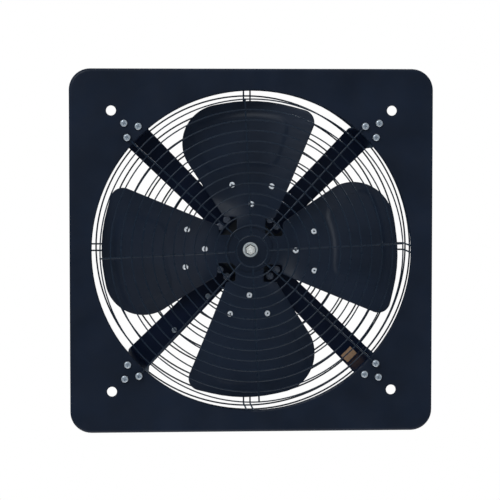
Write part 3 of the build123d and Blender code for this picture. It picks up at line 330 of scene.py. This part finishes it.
# Finishes that single pieces have.
BRIGHT_ZINC = zinc_plate("bright_zinc", (0.72, 0.76, 0.76), 0.3, metal=0.5)
BRIGHT_STEEL = zinc_plate("bright_steel", (0.86, 0.87, 0.84), 0.3, metal=0.4)
# Dark steel that paints the shade on the hub nut's wrench flats and chamfer.
NUT_SIDE_PAINTED_SHADE = zinc_plate("nut_side_painted_shade", (0.1, 0.1, 0.095), 0.4, metal=0.85)
BLACK_ZINC = zinc_plate("black_zinc", (0.2, 0.21, 0.25), 0.28, metal=0.7)
BLUE_ZINC = zinc_plate("blue_zinc", (0.32, 0.36, 0.4), 0.32, metal=0.7)

# Nodes whose finish differs from the rest of their slot.
NODE_MATERIALS = {
    "hub_washer": BRIGHT_ZINC,
    "motor_shaft": BRIGHT_STEEL,
    "arm_motor_bolts": BLACK_ZINC,
    "arm_motor_washers": BLACK_ZINC,
    "clip_screws": BLUE_ZINC,
}

for part in frame["record"]["subparts"]:
    node = part["node"]
    mesh = frame["nodes"][node].data
    mesh.materials.clear()
    mesh.materials.append(NODE_MATERIALS.get(node, SLOT_MATERIALS[part["material_slot"]]))


# ---------------------------------------------------------------- blades


def rounded_corner(before, corner, after, radius):
    """Points of the arc that rounds a corner."""
    to_before = (before - corner).normalized()
    to_after = (after - corner).normalized()
    half = to_before.angle(to_after) / 2
    reach = radius / math.tan(half)
    centre = corner + (to_before + to_after).normalized() * (radius / math.sin(half))
    first = corner + to_before * reach - centre
    last = corner + to_after * reach - centre
    sweep = first.angle_signed(last)
    count = max(2, round(abs(math.degrees(sweep)) / CORNER_STEP_ANGLE))
    points = []
    for k in range(count + 1):
        a = -sweep * k / count
        x = first.x * math.cos(a) - first.y * math.sin(a)
        y = first.x * math.sin(a) + first.y * math.cos(a)
        points.append(centre + Vector((x, y)))
    return points


def tip_corner(slope, offset):
    """Where the line side = offset + slope * along meets a tangent of the tip circle."""
    a = math.radians(TIP_TANGENT_ANGLES[0] if offset < 0 else TIP_TANGENT_ANGLES[1])
    along = (TIP_R - offset * math.sin(a)) / (math.cos(a) + slope * math.sin(a))
    return Vector((along, offset + slope * along))


def neck_corners(slope, offset, side):
    """Corners of the blade's neck on one side: on the root circle, at the neck's end and on the edge line."""
    root = Vector((math.sqrt(BLADE_ROOT_R**2 - BLADE_NECK_HALF**2), side * BLADE_NECK_HALF))
    end = Vector((BLADE_NECK_END, side * BLADE_NECK_HALF))
    heel = Vector((BLADE_NECK_END, offset + slope * BLADE_NECK_END))
    return root, end, heel


def resampled(points, step):
    """The closed outline with points no further apart than step."""
    dense = []
    for start, end in zip(points, points[1:] + points[:1]):
        count = max(1, math.ceil((end - start).length / step))
        dense += [start.lerp(end, k / count) for k in range(count)]
    return dense


def blade_outline():
    """Flat outline of a blade, (along, side) in mm, counter-clockwise."""
    low, high = (math.radians(a) for a in TIP_TANGENT_ANGLES)
    middle_r = TIP_R / math.cos((high - low) / 2)
    middle = Vector((middle_r * math.cos((low + high) / 2), middle_r * math.sin((low + high) / 2)))
    shoulder = Vector(((BLADE_SIDE - FLARED_EDGE[1]) / FLARED_EDGE[0], BLADE_SIDE))
    first, low_end, low_heel = neck_corners(*STRAIGHT_EDGE, -1)
    last, high_end, high_heel = neck_corners(*FLARED_EDGE, 1)
    tip = [tip_corner(*STRAIGHT_EDGE), middle, tip_corner(0, BLADE_SIDE), shoulder]
    corners = [first, low_end, low_heel, *tip, high_heel, high_end, last]
    points = [first]
    for before, corner, after, radius in zip(corners, corners[1:], corners[2:], OUTLINE_RADII):
        points += rounded_corner(before, corner, after, radius)
    angle_last = math.atan2(last.y, last.x)
    angle_first = math.atan2(first.y, first.x)
    for k in range(ROOT_ARC_STEPS + 1):
        a = angle_last + (angle_first - angle_last) * k / ROOT_ARC_STEPS
        points.append(Vector((BLADE_ROOT_R * math.cos(a), BLADE_ROOT_R * math.sin(a))))
    return resampled(points[:-1], MESH_STEP)


def slope_at(along):
    """Tangent of the sheet's pitch, on a cubic Hermite curve through the stations."""
    stations = [(r, math.tan(math.radians(p))) for r, p in PITCH_STATIONS]
    for k in range(len(stations) - 1):
        (r0, v0), (r1, v1) = stations[k], stations[k + 1]
        if along <= r1 or k == len(stations) - 2:
            break
    before = stations[max(k - 1, 0)]
    after = stations[min(k + 2, len(stations) - 1)]
    m0 = (v1 - before[1]) / (r1 - before[0])
    m1 = (after[1] - v0) / (after[0] - r0)
    t = (along - r0) / (r1 - r0)
    span = r1 - r0
    return (
        (2 * t**3 - 3 * t**2 + 1) * v0
        + (t**3 - 2 * t**2 + t) * span * m0
        + (-2 * t**3 + 3 * t**2) * v1
        + (t**3 - t**2) * span * m1
    )


def panel_rise(along, side):
    """Height of the pressed panel over the sheet."""
    r = math.hypot(along, side)
    angle = math.atan2(side, along) - math.radians(PANEL_MID_ANGLE)
    u = abs(r - PANEL_MID_R) - (PANEL_HALF_LENGTH - PANEL_CORNER_R)
    v = abs(angle) * r - (math.radians(PANEL_HALF_ANGLE) * r - PANEL_CORNER_R)
    distance = math.hypot(max(u, 0), max(v, 0)) + min(max(u, v), 0) - PANEL_CORNER_R
    t = min(max(0.5 - distance / PANEL_SLOPE, 0), 1)
    return PANEL_RISE * t * t * (3 - 2 * t)


def sheet_point(along, side):
    """Point of the blade's mid surface, and the sheet's normal towards the front."""
    def height(a, s):
        return BLADE_MID_Y + s * slope_at(a) - panel_rise(a, s)

    y = height(along, side)
    d_along = height(along + SLOPE_PROBE, side) - height(along - SLOPE_PROBE, side)
    d_side = height(along, side + SLOPE_PROBE) - height(along, side - SLOPE_PROBE)
    d_along /= 2 * SLOPE_PROBE
    d_side /= 2 * SLOPE_PROBE
    return Vector((along, y, side)), Vector((d_along, -1, d_side)).normalized()


def lattice_inside(outline, step):
    """Points of a triangular lattice inside the outline, clear of its edge."""
    low_a = min(p.x for p in outline)
    low_s, high_s = min(p.y for p in outline), max(p.y for p in outline)
    row_step = step * math.sqrt(3) / 2
    inside = []
    for row in range(math.floor((high_s - low_s) / row_step) + 1):
        side = low_s + (row + 0.5) * row_step
        crossings = sorted(
            p.x + (side - p.y) / (q.y - p.y) * (q.x - p.x)
            for p, q in zip(outline, outline[1:] + outline[:1])
            if (p.y > side) != (q.y > side)
        )
        for start, end in zip(crossings[::2], crossings[1::2]):
            shift = (row % 2) * step / 2
            end_gap = LATTICE_END_GAP * step
            along = low_a + shift + math.ceil((start + end_gap - low_a - shift) / step) * step
            while along < end - end_gap:
                point = Vector((along, side))
                if min((point - p).length for p in outline) > LATTICE_RIM_GAP * step:
                    inside.append(point)
                along += step
    return inside


def blade_mesh():
    """One blade along +X in metres: the pressed sheet's two skins and the rounded rim between them."""
    half = BLADE_SHEET / 2
    outline = blade_outline()
    count = len(outline)
    outward = []
    for k in range(count):
        along_edge = (outline[(k + 1) % count] - outline[k - 1]).normalized()
        outward.append(Vector((along_edge.y, -along_edge.x)))
    inset = [p - n * half for p, n in zip(outline, outward)]
    flat = inset + lattice_inside(inset, MESH_STEP)
    edges = [(k, (k + 1) % count) for k in range(count)]
    flat, _, faces, _, _, _ = delaunay_2d_cdt(flat, edges, [], INSIDE_ONLY, JOIN_TOLERANCE)
    surface = [sheet_point(p.x, p.y) for p in flat]
    points = [p + n * half for p, n in surface] + [p - n * half for p, n in surface]
    total = len(flat)
    triangles = [tuple(face) for face in faces]
    back = [tuple(index + total for index in reversed(face)) for face in triangles]
    rings = [list(range(count))]
    for angle in RIM_ANGLES:
        a = math.radians(angle)
        ring = []
        for k in range(count):
            centre, normal = surface[k]
            out = inset[k] + outward[k] * RIM_PROBE
            beyond, _ = sheet_point(out.x, out.y)
            sideways = (beyond - centre).normalized()
            points.append(centre + sideways * half * math.cos(a) + normal * half * math.sin(a))
            ring.append(len(points) - 1)
        rings.append(ring)
    rings.append([k + total for k in range(count)])
    quads = []
    for upper, lower in zip(rings, rings[1:]):
        for k in range(count):
            after = (k + 1) % count
            quads.append((upper[after], upper[k], lower[k], lower[after]))
    mesh = bpy.data.meshes.new("pressed_blade")
    mesh.from_pydata([p * MM for p in points], [], triangles + back + quads)
    return mesh


def face_outward(mesh):
    """Turn all faces outward and shade them smooth."""
    work = bmesh.new()
    work.from_mesh(mesh)
    bmesh.ops.recalc_face_normals(work, faces=work.faces)
    work.to_mesh(mesh)
    work.free()
    for polygon in mesh.polygons:
        polygon.use_smooth = True


def front_turn(angle):
    """Turn about the fan axis, counter-clockwise as seen from the front."""
    return Matrix.Rotation(math.radians(-angle), 4, "Y")


def add_blades():
    """Four copies of the blade, each standing for its CAD node."""
    pattern = blade_mesh()
    face_outward(pattern)
    pattern.materials.append(SLOT_MATERIALS["blade_coat"])
    for number, angle in enumerate(BLADE_ANGLES, start=1):
        mesh = pattern.copy()
        mesh.transform(front_turn(angle))
        blade = bpy.data.objects.new(f"pressed_blade_{number}", mesh)
        bpy.context.scene.collection.objects.link(blade)
        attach(blade, "impeller")
        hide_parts(f"blade_{number}")


add_blades()

# ---------------------------------------------------------------- hub nut


def hexagon_radius(angle, flats):
    """Distance from the centre of a hexagon to its edge, with corners at 30, 90, 150 degrees and so on."""
    from_middle = min(angle % 60.0, 60.0 - angle % 60.0)
    return flats / 2 / math.cos(math.radians(from_middle))


def nut_mesh():
    """Hexagon nut in metres: wrench flats and chamfer in a dark steel that is painted shade for the nut's
    sides, a bright face and a chamfered thread hole.
    """
    lowest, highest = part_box("hub_nut")
    front_y, back_y = lowest[1] / MM, highest[1] / MM
    count = 6 * NUT_STEPS_PER_SIDE
    angles = [360.0 * k / count for k in range(count)]
    profile = [
        (NUT_FLATS, back_y),
        (NUT_FLATS, front_y + NUT_CHAMFER_DEPTH),
        (NUT_FACE_FLATS + 2 * NUT_FACE_EDGE, front_y + NUT_FACE_EDGE),
        (NUT_FACE_FLATS, front_y),
    ]
    rings = [[(hexagon_radius(angle, flats), y) for angle in angles] for flats, y in profile]
    hole = [
        (NUT_HOLE_R + NUT_HOLE_CHAMFER, front_y),
        (NUT_HOLE_R, front_y + NUT_HOLE_CHAMFER),
        (NUT_HOLE_R, back_y),
    ]
    rings += [[place] * count for place in hole]
    points = []
    for ring in rings:
        for angle, (radius, y) in zip(angles, ring):
            a = math.radians(angle + NUT_TURN)
            points.append((radius * math.cos(a) * MM, y * MM, radius * math.sin(a) * MM))
    faces = []
    for ring in range(len(rings)):
        here, there = ring * count, (ring + 1) % len(rings) * count
        for k in range(count):
            after = (k + 1) % count
            faces.append((here + k, here + after, there + after, there + k))
    mesh = bpy.data.meshes.new("hexagon_nut")
    mesh.from_pydata(points, [], faces)
    # The first two bands are the wrench flats and the chamfer, which carry the painted shade of the nut's
    # sides.
    painted_shade_faces = 2 * count
    for polygon in mesh.polygons:
        polygon.material_index = 0 if polygon.index < painted_shade_faces else 1
    return mesh


def add_hub_nut():
    """The nut with painted shade on its flats and chamfer and a bright steel face, standing for its CAD node.
    """
    mesh = nut_mesh()
    mesh.materials.append(NUT_SIDE_PAINTED_SHADE)
    mesh.materials.append(BRIGHT_STEEL)
    nut = bpy.data.objects.new("hexagon_hub_nut", mesh)
    bpy.context.scene.collection.objects.link(nut)
    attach(nut, "impeller")
    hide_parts("hub_nut")


add_hub_nut()

# ---------------------------------------------------------------- floor, light and camera

FLOOR_Z = -0.62
FLOOR_R = 0.6
FLOOR_SIDES = 96
ROOM_COLOUR = (0.5, 0.74, 1.0, 1.0)
ROOM_STRENGTH = 0.2


def add_floor():
    """A pale round floor."""
    mesh = bpy.data.meshes.new("studio_floor")
    angles = [2 * math.pi * k / FLOOR_SIDES for k in range(FLOOR_SIDES)]
    rim = [(FLOOR_R * math.cos(a), FLOOR_R * math.sin(a), FLOOR_Z) for a in angles]
    mesh.from_pydata(rim, [], [tuple(range(FLOOR_SIDES))])
    floor = bpy.data.objects.new("studio_floor", mesh)
    bpy.context.scene.collection.objects.link(floor)
    material, tree, shader = new_material("pale_floor")
    tint = noise(tree, object_coordinates(tree), FLOOR_TINT)
    stops = [(FACTOR_LOW, (0.9, 0.9, 0.9)), (FACTOR_HIGH, (0.94, 0.94, 0.94))]
    tree.links.new(ramp(tree, tint, stops), shader.inputs["Base Color"])
    shader.inputs["Roughness"].default_value = 0.9
    mesh.materials.append(material)


def set_world():
    """White surroundings, which gloss sees as a dim, slightly blue room."""
    world = bpy.data.worlds.new("studio")
    bpy.context.scene.world = world
    world.use_nodes = True
    tree = world.node_tree
    tree.nodes.clear()
    output = tree.nodes.new("ShaderNodeOutputWorld")
    white = tree.nodes.new("ShaderNodeBackground")
    white.inputs["Color"].default_value = (1, 1, 1, 1)
    white.inputs["Strength"].default_value = 1.0
    room = tree.nodes.new("ShaderNodeBackground")
    room.inputs["Color"].default_value = ROOM_COLOUR
    room.inputs["Strength"].default_value = ROOM_STRENGTH
    path = tree.nodes.new("ShaderNodeLightPath")
    mix = tree.nodes.new("ShaderNodeMixShader")
    tree.links.new(path.outputs["Is Glossy Ray"], mix.inputs["Fac"])
    tree.links.new(white.outputs["Background"], mix.inputs[1])
    tree.links.new(room.outputs["Background"], mix.inputs[2])
    tree.links.new(mix.outputs["Shader"], output.inputs["Surface"])


def add_softbox(name, place, size, power, colour=(1, 1, 1)):
    """An area light at a place, facing the origin."""
    light = bpy.data.lights.new(name, "AREA")
    light.shape = "RECTANGLE"
    light.size, light.size_y = size
    light.energy = power
    light.color = colour
    softbox = bpy.data.objects.new(name, light)
    softbox.location = place
    softbox.rotation_euler = (-Vector(place)).to_track_quat("-Z", "Y").to_euler()
    bpy.context.scene.collection.objects.link(softbox)


def add_lights():
    """A key from the upper left, a weak fill from the right, and light from above and behind."""
    add_softbox("key_softbox", (-1.6, -2.2, 1.9), (1.4, 1.0), 38.0, (0.93, 0.97, 1.0))
    add_softbox("fill_softbox", (2.4, -1.6, 0.5), (1.2, 1.6), 2.5, (1.0, 0.98, 0.95))
    add_softbox("top_softbox", (0.2, 0.4, 2.6), (1.8, 1.8), 12.0)
    add_softbox("back_softbox", (1.4, 2.4, 1.4), (1.4, 1.2), 30.0)


CAMERA_AZIMUTH = -3.7
CAMERA_ELEVATION = 3.2
CAMERA_DISTANCE = 2.6
CAMERA_LENS = 141.9
CAMERA_TARGET = Vector((-0.0027, -0.0015, 0.0015))


def add_camera():
    """The camera stands in front, a little to the left and a little above."""
    camera = bpy.data.cameras.new("camera")
    camera.lens = CAMERA_LENS
    holder = bpy.data.objects.new("camera", camera)
    a, e = math.radians(CAMERA_AZIMUTH), math.radians(CAMERA_ELEVATION)
    back = Vector((math.sin(a) * math.cos(e), -math.cos(a) * math.cos(e), math.sin(e)))
    holder.location = CAMERA_TARGET + back * CAMERA_DISTANCE
    holder.rotation_euler = (-back).to_track_quat("-Z", "Y").to_euler()
    bpy.context.scene.collection.objects.link(holder)
    bpy.context.scene.camera = holder


add_floor()
set_world()
add_lights()
add_camera()
bpy.context.scene.view_settings.view_transform = "Standard"
